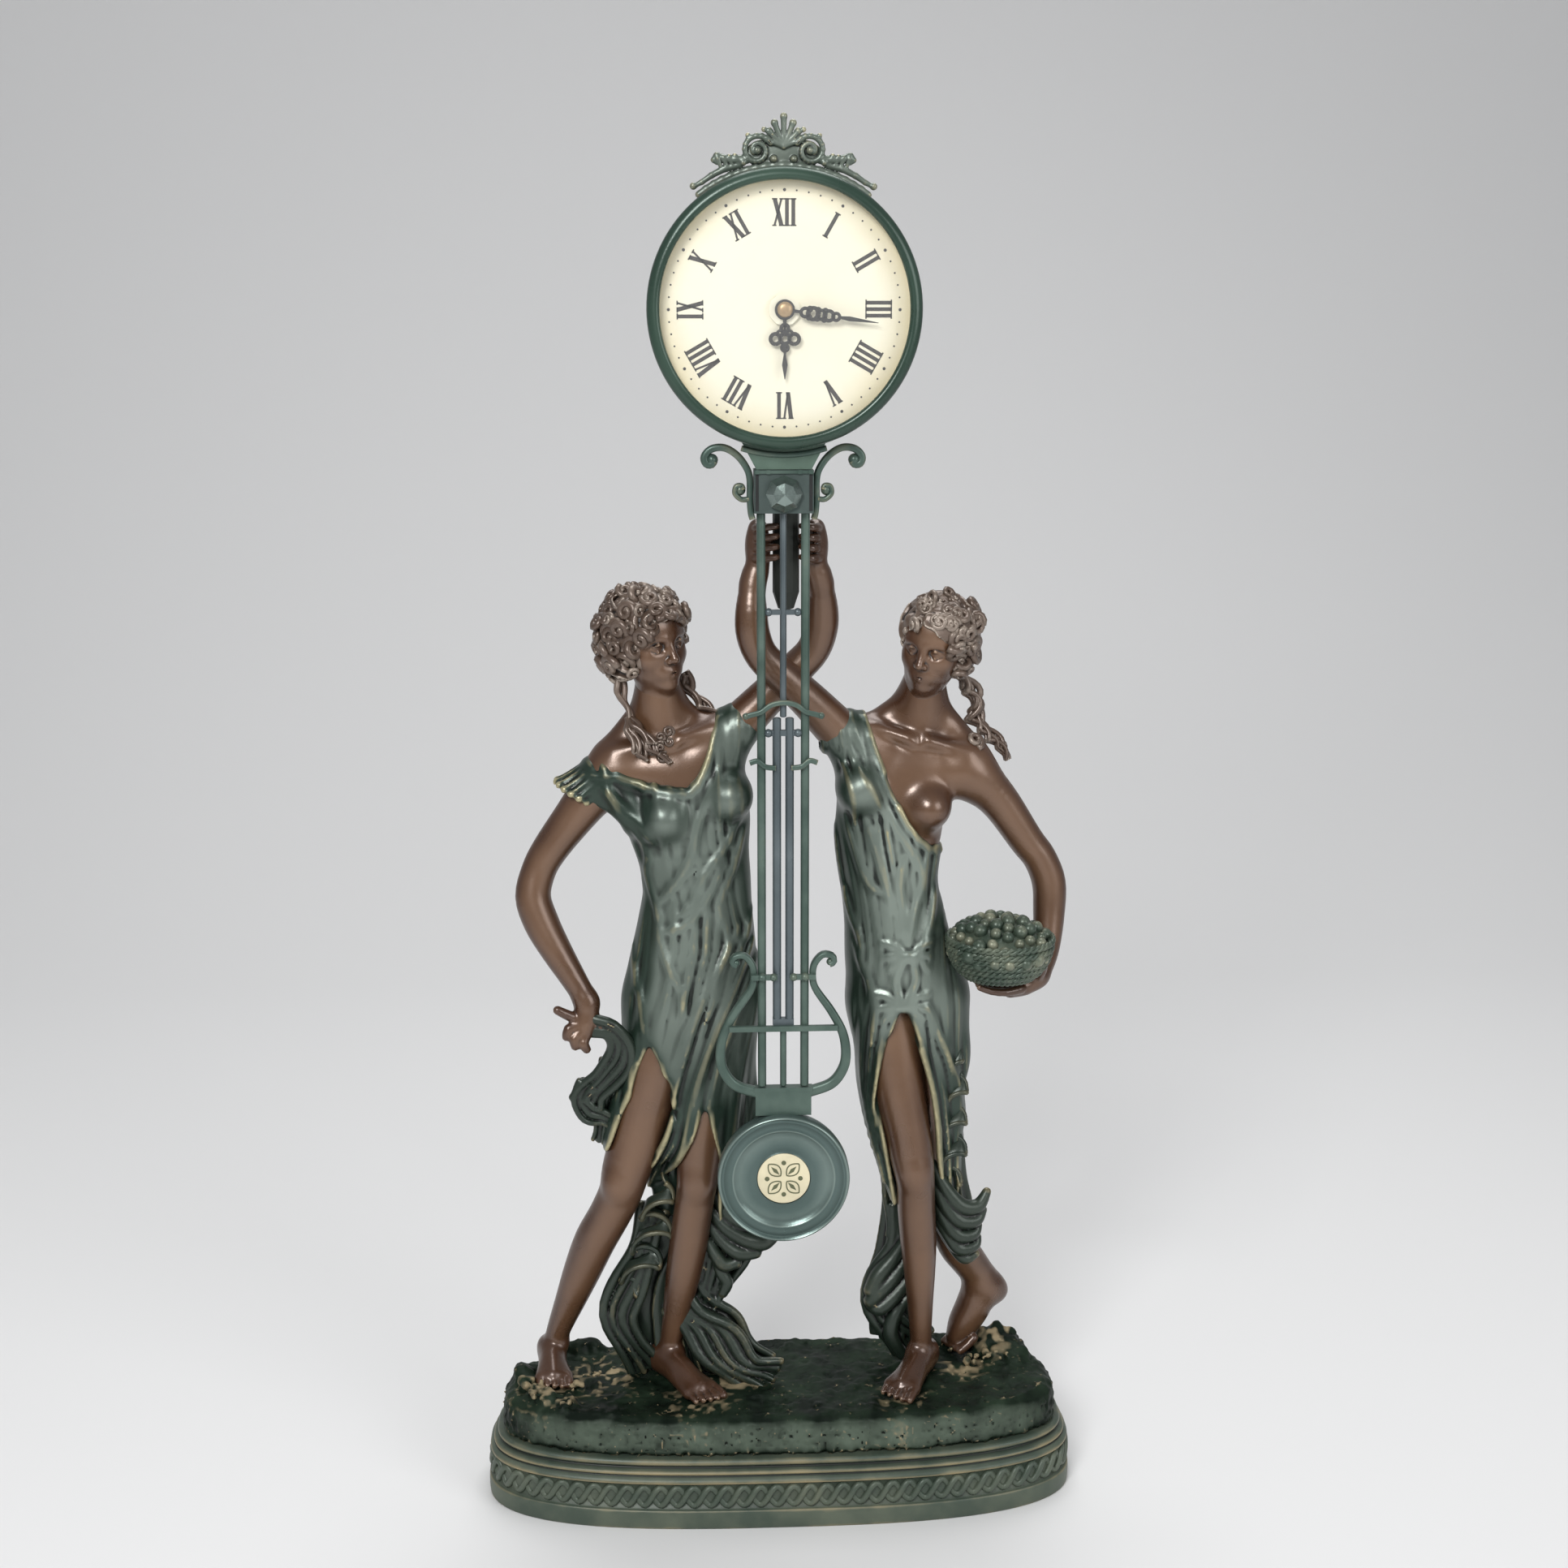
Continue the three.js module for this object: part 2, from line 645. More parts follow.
  const gownRoom = loft(
    [
      [-37, 8, 118, 32, 17, 0.1],
      [-32, 9, 95, 30, 14, 0.14],
    ],
    24,
    { folds: 8, grow: SEAT },
  );
  const train = loft(
    [
      [-36, 16, 104, 30, 9, 0.1],
      [-41, 15, 74, 36, 9, 0.12],
      [-51, 15, 54, 31, 9, 0.14],
      [-54, 14, 38, 28, 9, 0.14],
      [-52, 13, 22, 29, 10, 0.16],
      [-45, 12, 5, 36, 13, 0.18],
    ],
    24,
    { folds: 8 },
  );
  const tail = loft([[-26, 10, 6, 12, 9], [-12, 6, 4, 8, 4], [-5, 4, 2, 4, 2]], 8);
  const trainForm = cut(join(train, tail), gownRoom, gown, ...legRoom).intersect(aboveGround);
  piece(figures, "left_figure_train", largest(trainForm), FINISHES.dress);
}

const BASKET_X = 111;
const BASKET_Y = -16;
const BASKET_FOOT = 224;

function basketForm(grow) {
  const profile = [
    [0, -grow],
    [15 + grow, -grow],
    [22 + grow, 7],
    [27 + grow, 15],
    [28.5 + grow, 19],
    [28 + grow, 23 + grow],
    [25 - grow, 23 + grow],
    [22, 17 + grow],
    [0, 15 + grow],
  ];
  const points = profile.map(([radius, height]) => new THREE.Vector2(radius, height));
  const geometry = new THREE.LatheGeometry(points, 24);
  return solidOf(geometry.rotateX(Math.PI / 2).translate(BASKET_X, BASKET_Y, BASKET_FOOT));
}

const FRUITS = 8;

function fruitForm() {
  const golden = Math.PI * (3 - Math.sqrt(5));
  const fruits = [];
  for (let k = 0; k < FRUITS; k++) {
    const away = 16.5 * Math.sqrt(k / (FRUITS - 1));
    const radius = 8 - 0.6 * (k % 3);
    const high = BASKET_FOOT + 38 - 0.02 * away * away - radius;
    const place = [BASKET_X + away * Math.cos(k * golden), BASKET_Y + away * Math.sin(k * golden), high];
    fruits.push(lump(place, [radius, radius, radius], k, 0));
  }
  const bed = loft(
    [
      [BASKET_X, BASKET_Y, BASKET_FOOT + 16, 22],
      [BASKET_X, BASKET_Y, BASKET_FOOT + 26, 15],
    ],
    16,
  );
  return cut(join(bed, ...fruits), basketForm(SEAT));
}

function addRightFigure() {
  const turn = THREE.MathUtils.degToRad(-30);
  const jaw = [70, -5, 386];
  const breast = { place: [75, -8, 311], size: [12, 12, 12] };
  const ponytail = [
    [88, 16, 376, 6],
    [103, 17, 362, 5],
    [99, 16, 352, 5],
    [106, 15, 344, 5],
    [117, 13, 332, 3],
  ];
  const bust = limb(
    [
      [62, 4, 300, 27, 16],
      [65, 4, 316, 31, 16],
      [68, 4, 331, 34, 14.5],
      [69, 4, 341, 29, 12.5],
      [70, 4, 351, 15, 11],
      [71, 4, 362, 10.2, 10.2],
      [74, 4, 376, 9.8, 9.8],
    ],
    14,
  );
  const bare = lump(breast.place, breast.size);
  const face = [lump(jaw, JAW_SIZE, turn), lump([80, 4, 399], [19, 22, 20], turn, 2)];
  const hairLumps = [
    [[93, 10, 394], [10, 11, 17]],
    [[80, 8, 410], [16, 14, 8]],
    [[84, 18, 392], [13, 11, 16]],
  ];
  const hair = [...hairLumps.map(([place, size]) => lump(place, size)), loft(ponytail, 8)];
  const head = join(bust.whole, bare, ...face, ...hair);
  piece(figures, "right_figure_head", head, FINISHES.skin);
  const bustRoom = join(
    bust.room,
    lump(breast.place, breast.size.map((half) => half + SEAT)),
    jawRoom(jaw, turn),
    loft(ponytail, 8, { grow: 1 }),
  );

  const wristIn = [-14, -13, GRIP - 20];
  const raised = limb([
    [38, 3, 341, 10.5],
    [16, -5, 364, 9.6],
    [-4, -12, 383, 8.4],
    [-13, -14, 394, 8],
    [-14, -15, 412, 7.8],
    [...wristIn, 5.8],
  ]);
  const otherArm = limb(LEFT_RAISED_ARM).room;
  const grip = grippingHand(-1, wristIn, GRIP, 2.5);
  const raisedArm = cut(join(raised.whole, grip), stemForm(SEAT), bustRoom, otherArm);
  piece(figures, "right_figure_raised_arm", raisedArm, FINISHES.skin);

  const carrying = limb([
    [98, 4, 326, 10.5],
    [116, 6, 309, 9],
    [134, 8, 283, 8],
    [140, 8, 266, 8],
    [139, 5, 246, 7.6],
    [135, -4, 228, 6.2],
    [126, -12, 218, 6, 5],
  ]);
  const fingers = [-6, -2, 2, 6].map((depth) =>
    finger(
      [
        [126, -14 + depth, 218],
        [117, -15 + depth, 217],
        [107, -17 + depth, 218],
      ],
      2.3,
    ),
  );
  const palm = loft([[129, -11, 220, 5, 6], [121, -14, 218, 4, 8], [115, -15, 217.5, 3.5, 8.5]], 8);
  const basketArm = cut(join(carrying.whole, palm, ...fingers), basketForm(SEAT), bustRoom);
  piece(figures, "right_figure_basket_arm", largest(basketArm), FINISHES.skin);

  const standing = limb([
    [56, 2, 205, 16],
    [62, -6, 160, 13.5],
    [68, -12, 126, 11.6],
    [70, -13, 112, 10.4],
    [72, -9, 85, 9.2],
    [74, -5, 50, 7],
    [75, -1, 18, 6.2],
    [76, 0, 9, 6.2],
  ]);
  const standingFoot = foot([79, 8, SEAT], [57, -37, SEAT], 8.5);
  const standingLeg = join(standing.whole, standingFoot.whole).intersect(aboveGround);
  piece(figures, "right_figure_standing_leg", largest(standingLeg), FINISHES.skin);
  const trailing = limb([
    [80, 7, 205, 15],
    [82, 7, 150, 12.5],
    [83, 8, 112, 11],
    [88, 13, 84, 10.5],
    [98, 19, 62, 9.5],
    [110, 25, 45, 7.5],
    [115, 27, 38, 7],
    [118, 29, 32, 6.5],
  ]);
  const trailingFoot = loft(
    [
      [121, 31, 31, 6.5],
      [112, 28, 22, 7.5, 6],
      [102, 25, 9, 8.5, 5],
      [97, 22, 4, 8, 3.4],
    ],
    8,
  );
  const trailingLeg = join(trailing.whole, trailingFoot).intersect(aboveGround);
  const trailingRoom = join(trailing.room, trailingFoot);
  const rockRoom = rockForms(0, SEAT);
  const trailingCut = largest(cut(trailingLeg, standing.room, ...rockRoom));
  piece(figures, "right_figure_trailing_leg", trailingCut, FINISHES.skin);

  const gown = loft(
    [
      [46, 3, 330, 17, 16],
      [50, 3, 315, 24, 19],
      [54, 4, 293, 25.5, 19.5],
      [56, 6, 271, 21.5, 17.5],
      [61, 6, 243, 24.5, 20],
      [66, 6, 213, 27.5, 22, 0.02],
      [67, 6, 183, 28, 21, 0.04],
      [65, 8, 148, 29, 18, 0.08],
      [66, 10, 118, 28, 15, 0.12],
      [70, 12, 93, 24, 12, 0.14],
    ],
    24,
    { folds: 8 },
  );
  const covered = lump([39, -9, 321], [11, 11, 11]);
  const strap = loft(
    [
      [42, -8, 324, 9, 6],
      [36, -3, 340, 8, 8],
      [36, 6, 352, 8, 7],
      [40, 16, 330, 9, 5],
    ],
    8,
  );
  const cascade = loft(
    [
      [85, 0, 158, 9, 9],
      [86, 0, 128, 9, 9, 0.1],
      [89, 1, 107, 12, 9, 0.15],
      [97, 2, 98, 15, 9, 0.15],
      [97, 4, 86, 12, 9, 0.15],
      [98, 6, 68, 8, 7, 0.1],
    ],
    20,
    { folds: 6 },
  );
  const clear = [bustRoom, raised.room, carrying.room, standing.room, trailingRoom, basketForm(SEAT)];
  const dress = cut(join(gown, covered, strap, cascade), ...clear);
  piece(figures, "right_figure_dress", largest(dress), FINISHES.dress);

  const train = loft(
    [
      [60, 18, 116, 24, 8, 0.1],
      [61, 18, 90, 16, 8, 0.14],
      [58, 17, 64, 13, 8, 0.16],
      [57, 16, 46, 13.5, 8, 0.16],
      [58, 15, 18, 11, 7, 0.16],
    ],
    24,
    { folds: 8 },
  );
  const gownRoom = gown.translate([0, SEAT, -SEAT]);
  const trainRoom = [gown, gownRoom, cascade, standing.room, trailingRoom, standingFoot.room, ...rockRoom];
  const trainForm = cut(train, ...trainRoom).intersect(aboveGround);
  piece(figures, "right_figure_train", largest(trainForm), FINISHES.dress);

  piece(figures, "basket", basketForm(0), FINISHES.fruit);
  piece(figures, "fruit_heap", largest(cut(fruitForm(), carrying.room)), FINISHES.fruit);
}

function addSupport() {
  const pinBack = STEM_Y + STEM_HEAD_LENGTH / 2 - 2;
  const headFront = STEM_Y - STEM_HEAD_LENGTH / 2;
  const blockFront = PENDULUM_Y - BLOCK_DEPTH / 2;
  const blockBack = PENDULUM_Y + BLOCK_DEPTH / 2;
  const boreTool = disc(PIN_RADIUS + SEAT, headFront - 1, pinBack + SEAT, 20, 0, PIVOT_HEIGHT);
  piece(figures, "support_stem", cut(stemForm(0), boreTool), FINISHES.patina);
  const pin = turned(
    [
      [0, blockFront - PIN_NOSE],
      [PIN_RADIUS, blockFront - PIN_NOSE],
      [PIN_RADIUS, blockBack + SEAT],
      [PIN_COLLAR_RADIUS, blockBack + SEAT],
      [PIN_COLLAR_RADIUS, headFront - SEAT],
      [PIN_RADIUS, headFront - SEAT],
      [PIN_RADIUS, pinBack],
      [0, pinBack],
    ],
    20,
    0,
    PIVOT_HEIGHT,
  );
  piece(figures, "pivot_pin", pin, FINISHES.steel);
  const clipFront = blockFront - SEAT - CLIP_THICKNESS;
  const clip = ring(PIN_RADIUS + RUN, PIN_RADIUS + CLIP_WALL, clipFront, blockFront - SEAT, 20);
  piece(figures, "retaining_clip", clip.translate([0, 0, PIVOT_HEIGHT]), FINISHES.steel);
}

// The swinging assembly hangs on the pin; its points are measured from the pivot
const swing = new THREE.Group();
swing.position.set(0, PENDULUM_Y, GROUND + PIVOT_HEIGHT);
clock.add(swing);

function addPivotBlock() {
  const front = -BLOCK_DEPTH / 2;
  const back = BLOCK_DEPTH / 2;
  const bushRadius = PIN_RADIUS + RUN + BUSH_WALL;
  const body = box([-BLOCK_HALF_WIDTH, front, -BLOCK_BELOW], [BLOCK_HALF_WIDTH, back, BLOCK_ABOVE]);
  piece(swing, "pivot_block", cut(body, disc(bushRadius + SEAT, front - 1, back + 1, 20)), FINISHES.patina);
  piece(swing, "pivot_bush", ring(PIN_RADIUS + RUN, bushRadius, front, back, 20), FINISHES.brass);
  const cavity = ROSETTE_RADIUS - ROSETTE_WALL;
  const seat = front - SEAT;
  const rosette = turned(
    [
      [0, seat - ROSETTE_HEIGHT + 2 * ROSETTE_WALL],
      [cavity, seat - ROSETTE_HEIGHT + 2 * ROSETTE_WALL],
      [cavity, seat],
      [ROSETTE_RADIUS, seat],
      [ROSETTE_RADIUS, seat - 0.3 * ROSETTE_HEIGHT],
      [0.62 * ROSETTE_RADIUS, seat - 0.88 * ROSETTE_HEIGHT],
      [0, seat - ROSETTE_HEIGHT],
    ],
    ROSETTE_FACETS,
  );
  piece(swing, "pivot_rosette", rosette, FINISHES.patina);
  const flank = BLOCK_HALF_WIDTH + SEAT + HORN_THICKNESS / 2;
  const horn = [
    [flank - 1.2, -BLOCK_BELOW - 3.2],
    [flank - 0.4, -BLOCK_BELOW],
    [flank, -3],
    [flank, 6],
    [flank + 1.5, 11.5],
    [flank + 6, 17.5],
    [flank + 12, 21],
    [flank + 18, 20.5],
    [flank + 21.5, 17],
    [flank + 20.5, 13.5],
    [flank + 18, 13.5],
  ];
  const curl = [
    [flank + 0.5, -3],
    [flank + 4, -3.2],
    [flank + 7, -0.5],
    [flank + 6.5, 2.8],
    [flank + 4, 3],
  ];
  const pair = [["horn_bracket_left", mirrored], ["horn_bracket_right", (points) => points]];
  for (const [name, place] of pair) {
    const long = scroll(place(horn), 0, HORN_THICKNESS, HORN_DEPTH, 16);
    const short = scroll(place(curl), 0, 0.8 * HORN_THICKNESS, HORN_DEPTH, 8);
    piece(swing, name, cut(join(long, short), body.translate([0, 0, -SEAT])), FINISHES.patina);
  }
  const saddle = new THREE.Shape();
  const arc = DRUM_RADIUS + SEAT;
  const low = BLOCK_ABOVE + SEAT;
  saddle.moveTo(-BLOCK_HALF_WIDTH + 1, low);
  saddle.lineTo(BLOCK_HALF_WIDTH - 1, low);
  const tipX = arc * Math.sin(SADDLE_SPREAD);
  saddle.lineTo(tipX, DIAL_RISE - arc * Math.cos(SADDLE_SPREAD));
  saddle.absarc(0, DIAL_RISE, arc, -Math.PI / 2 + SADDLE_SPREAD, -Math.PI / 2 - SADDLE_SPREAD, true);
  const hornRoom = HORN_THICKNESS + 2 * SEAT;
  const clearHorns = [horn, mirrored(horn)].map((path) => scroll(path, 0, hornRoom, 20, 16));
  const saddleForm = cut(plate(saddle, front, back, 12), ...clearHorns);
  piece(swing, "drum_saddle", largest(saddleForm), FINISHES.patina);
}

// The clock head, measured from the dial's centre
const head = new THREE.Group();
head.position.z = DIAL_RISE;
swing.add(head);

const DRUM_INNER = DRUM_RADIUS - DRUM_WALL;
const LENS_BACK = -DRUM_FRONT - SEAT;
const LENS_RADIUS = DIAL_RADIUS + BEZEL_LIP - SEAT;
const DIAL_FRONT = -DRUM_FRONT + DIAL_SETBACK;
const DIAL_BACK = DIAL_FRONT + DIAL_THICKNESS;
const CASE_FRONT = DIAL_BACK + SEAT;
const CASE_BACK = CASE_FRONT + CASE_DEPTH;
const TUBE_RADIUS = ARBOR_RADIUS + RUN + TUBE_WALL;
const BUSHING_BORE = TUBE_RADIUS + RUN;
const BUSHING_RADIUS = BUSHING_BORE + BUSHING_WALL;

function addClockHead() {
  const ledge = DIAL_BACK + SEAT;
  const drum = turned(
    [
      [DRUM_RADIUS, -DRUM_FRONT],
      [DRUM_RADIUS, DRUM_BACK],
      [DRUM_INNER, DRUM_BACK],
      [DRUM_INNER, ledge + LEDGE_THICKNESS],
      [DRUM_INNER - LEDGE_WIDTH, ledge + LEDGE_THICKNESS],
      [DRUM_INNER - LEDGE_WIDTH, ledge],
      [DRUM_INNER, ledge],
      [DRUM_INNER, -DRUM_FRONT],
      [DRUM_RADIUS, -DRUM_FRONT],
    ],
    ROUND_SIDES,
  );
  piece(head, "drum_case", drum, FINISHES.patina);
  const lipBack = LENS_BACK - LENS_THICKNESS - SEAT;
  const outside = DRUM_RADIUS + SEAT + BEZEL_WALL;
  const bezel = turned(
    [
      [DIAL_RADIUS, lipBack],
      [DIAL_RADIUS, lipBack - 1.6],
      [DIAL_RADIUS + 1.4, -DRUM_FRONT - BEZEL_FRONT],
      [outside - 2, -DRUM_FRONT - BEZEL_FRONT + 1],
      [outside, -DRUM_FRONT - 1],
      [outside, -DRUM_FRONT + BEZEL_SKIRT],
      [DRUM_RADIUS + SEAT, -DRUM_FRONT + BEZEL_SKIRT],
      [DRUM_RADIUS + SEAT, LENS_BACK],
      [DIAL_RADIUS + BEZEL_LIP, LENS_BACK],
      [DIAL_RADIUS + BEZEL_LIP, lipBack],
      [DIAL_RADIUS, lipBack],
    ],
    ROUND_SIDES,
  );
  piece(head, "bezel", bezel, FINISHES.patina);
  const domed = (radius, rim) =>
    [1, 0.65, 0.3, 0].map((share) => [radius * share, rim - LENS_CROWN * (1 - share * share)]);
  const inside = domed(LENS_RADIUS, LENS_BACK);
  const outsideFace = domed(LENS_RADIUS, LENS_BACK - LENS_THICKNESS).reverse();
  piece(head, "lens", turned([...outsideFace, ...inside], ROUND_SIDES), FINISHES.glass);
  const dial = ring(BUSHING_RADIUS + SEAT, DRUM_INNER - SEAT, DIAL_FRONT, DIAL_BACK, ROUND_SIDES);
  piece(head, "dial", dial, FINISHES.dial);

  const back = turned(
    [
      [0, DRUM_BACK + SEAT],
      [DRUM_INNER - 2 - DRUM_WALL, DRUM_BACK + SEAT],
      [DRUM_INNER - 2 - DRUM_WALL, DRUM_BACK - COVER_PLUG],
      [DRUM_INNER - SEAT, DRUM_BACK - COVER_PLUG],
      [DRUM_INNER - SEAT, DRUM_BACK + SEAT],
      [DRUM_RADIUS, DRUM_BACK + SEAT],
      [DRUM_RADIUS, DRUM_BACK + SEAT + COVER_FLANGE],
      [0, DRUM_BACK + SEAT + COVER_FLANGE],
    ],
    ROUND_SIDES,
  );
  piece(head, "rear_cover", back, FINISHES.patina);

  const crestFoot = DRUM_RADIUS + SEAT;
  const spread = THREE.MathUtils.degToRad(36);
  const leaf = [
    [0, 27],
    [4.5, 25.8],
    [6.5, 21],
    [11.5, 22],
    [15, 17.5],
    [19.5, 11.5],
    [18.2, 8.5],
    [24, 8.8],
    [30, 9],
    [33.5, 5.5],
    [32.5, 2.5],
    [38, 0],
    [43, -3.5],
    [41.5, -7],
  ];
  const rise = ([x, z]) => [x, z + crestFoot];
  const right = leaf.map(rise);
  const left = mirrored(leaf.slice(1).map(rise)).reverse();
  const crestShape = outline([...left, ...right]);
  crestShape.absarc(0, 0, crestFoot, Math.PI / 2 - spread, Math.PI / 2 + spread, false);
  const crest = plate(crestShape, -CREST_SETBACK - CREST_DEPTH, -CREST_SETBACK, 12);
  piece(head, "crest", crest, FINISHES.patina);
}

// A spur gear in the XZ plane with one tooth at the given angle
function gear(teeth, module, front, tooth, z) {
  const pitch = (module * teeth) / 2;
  const root = pitch - 1.1 * module;
  const tip = pitch + 0.75 * module;
  const step = (2 * Math.PI) / teeth;
  const corners = [];
  for (let k = 0; k < teeth; k++) {
    const middle = tooth + k * step;
    for (const [radius, share] of [[root, -0.24], [tip, -0.1], [tip, 0.1], [root, 0.24]]) {
      const angle = middle + share * step;
      corners.push([radius * Math.cos(angle), z + radius * Math.sin(angle)]);
    }
  }
  return plate(outline(corners), front, front + GEAR_WIDTH);
}

const GEAR_CENTRES = (GEAR_MODULE * (CANNON_TEETH + MINUTE_WHEEL_TEETH)) / 2;
const HOUR_MODULE = (2 * GEAR_CENTRES) / (MINUTE_PINION_TEETH + HOUR_WHEEL_TEETH);
const NUT_FRONT = DIAL_FRONT - SEAT - NUT_THICKNESS;
const HOUR_HAND_FRONT = NUT_FRONT - HAND_STEP - HAND_THICKNESS;
const MINUTE_HAND_FRONT = HOUR_HAND_FRONT - HAND_STEP - HAND_THICKNESS;

function addMovement() {
  const half = CASE_WIDTH / 2;
  const plateFront = CASE_BACK - CASE_WALL;
  const inside = half - CASE_WALL;
  const bayFloor = BATTERY_HEIGHT - BATTERY_RADIUS - SEAT;
  const shell = cut(
    box([-half, CASE_FRONT, -half], [half, CASE_BACK, half]),
    box([-inside, CASE_FRONT + CASE_WALL, -inside], [inside, CASE_BACK + 1, bayFloor - CASE_WALL]),
    box([-inside, CASE_FRONT + CASE_WALL, bayFloor], [inside, CASE_BACK + 1, inside]),
  );
  const bushing = disc(BUSHING_RADIUS, NUT_FRONT, CASE_FRONT + CASE_WALL, 20);
  const bore = disc(BUSHING_BORE, NUT_FRONT - 1, CASE_FRONT + CASE_WALL + 1, 20);
  const driveZ = -half - 4;
  const driveY = CASE_FRONT + CASE_DEPTH / 2;
  const ear = box([-4, CASE_FRONT, driveZ - 3], [4, driveY - DRIVE_DEPTH / 2 - SEAT, -half + 1]);
  const peg = disc(1.5, CASE_FRONT + 1, driveY + DRIVE_DEPTH / 2 + 1, 16, 0, driveZ);
  piece(head, "movement_case", join(cut(join(shell, bushing), bore), ear, peg), FINISHES.plastic);
  const shaftHole = disc(ARBOR_RADIUS + RUN, plateFront - 1, CASE_BACK + 1, 16, 0, -GEAR_CENTRES);
  const lid = box(
    [-inside + SEAT, plateFront, -inside + SEAT],
    [inside - SEAT, CASE_BACK, bayFloor - CASE_WALL - SEAT],
  );
  piece(head, "movement_back", cut(lid, shaftHole), FINISHES.plastic);
  const nut = ring(BUSHING_RADIUS + SEAT, NUT_RADIUS, NUT_FRONT, DIAL_FRONT - SEAT, 12);
  piece(head, "movement_nut", nut, FINISHES.brass);
  const batteryY = CASE_FRONT + CASE_WALL + SEAT + BATTERY_RADIUS;
  const cell = new THREE.CylinderGeometry(BATTERY_RADIUS, BATTERY_RADIUS, BATTERY_LENGTH, 20);
  const battery = solidOf(cell.rotateZ(Math.PI / 2).translate(0, batteryY, BATTERY_HEIGHT));
  piece(head, "battery", battery, FINISHES.black);

  const hourGear = CASE_FRONT + CASE_WALL + 1;
  const minuteGear = hourGear + GEAR_WIDTH + 1.5;
  const noseFront = MINUTE_HAND_FRONT - HAND_NUT_HEIGHT + 0.5;
  const arbor = disc(ARBOR_RADIUS, noseFront, plateFront - SEAT, 16);
  const cannon = gear(CANNON_TEETH, GEAR_MODULE, minuteGear, -Math.PI / 2, 0);
  piece(head, "minute_arbor", join(arbor, cannon), FINISHES.steel);
  const tubeFront = HOUR_HAND_FRONT;
  const tube = disc(TUBE_RADIUS, tubeFront, hourGear + GEAR_WIDTH, 16);
  const hourWheel = gear(HOUR_WHEEL_TEETH, HOUR_MODULE, hourGear, -Math.PI / 2, 0);
  const tubeBore = disc(ARBOR_RADIUS + RUN, tubeFront - 1, hourGear + GEAR_WIDTH + 1, 16);
  piece(head, "hour_wheel", cut(join(tube, hourWheel), tubeBore), FINISHES.brass);
  const wheelTooth = Math.PI / 2 + Math.PI / MINUTE_WHEEL_TEETH;
  const pinionTooth = Math.PI / 2 + Math.PI / MINUTE_PINION_TEETH;
  const knobFront = CASE_BACK + 1.5;
  const shaft = disc(ARBOR_RADIUS, CASE_FRONT + CASE_WALL + SEAT, knobFront - SEAT, 16, 0, -GEAR_CENTRES);
  const wheel = gear(MINUTE_WHEEL_TEETH, GEAR_MODULE, minuteGear, wheelTooth, -GEAR_CENTRES);
  const pinion = gear(MINUTE_PINION_TEETH, HOUR_MODULE, hourGear, pinionTooth, -GEAR_CENTRES);
  piece(head, "minute_wheel", join(shaft, wheel, pinion), FINISHES.brass);
  const knob = disc(KNOB_RADIUS, knobFront, knobFront + KNOB_LENGTH, 16, 0, -GEAR_CENTRES);
  piece(head, "set_knob", knob, FINISHES.plastic);
  const eye = disc(3.5, driveY - DRIVE_DEPTH / 2, driveY + DRIVE_DEPTH / 2, 16, 0, driveZ);
  const hole = disc(1.5 + RUN, driveY - DRIVE_DEPTH, driveY + DRIVE_DEPTH, 16, 0, driveZ);
  const weightZ = driveZ - DRIVE_LENGTH + DRIVE_WEIGHT_RADIUS;
  const [driveFront, driveBack] = [driveY - DRIVE_DEPTH / 2, driveY + DRIVE_DEPTH / 2];
  const weight = disc(DRIVE_WEIGHT_RADIUS, driveFront, driveBack, 20, 0, weightZ);
  const link = box([-1.2, driveY - DRIVE_DEPTH / 2, weightZ], [1.2, driveY + DRIVE_DEPTH / 2, driveZ - 2.5]);
  piece(head, "drive_pendulum", cut(join(eye, weight, link), hole), FINISHES.brass);
}

// A flat hand along +X from [distance, half width] points, with a pierced eye, turned to its angle
function handForm(widths, eyeAt, eyeHalf, bore, hub, angle, front) {
  const upper = widths.map(([distance, half]) => [distance, half]);
  const lower = widths.map(([distance, half]) => [distance, -half]).reverse();
  const turnedPoints = [...lower, ...upper].map(([x, z]) => [
    x * Math.cos(angle) - z * Math.sin(angle),
    x * Math.sin(angle) + z * Math.cos(angle),
  ]);
  const back = front + HAND_THICKNESS;
  const blade = plate(outline(turnedPoints), front, back);
  const boss = disc(hub, front, back, 16);
  const eyeX = eyeAt * Math.cos(angle);
  const eyeZ = eyeAt * Math.sin(angle);
  const eye = disc(eyeHalf, front - 1, back + 1, 12, eyeX, eyeZ);
  return cut(join(blade, boss), eye, disc(bore, front - 1, back + 1, 16));
}

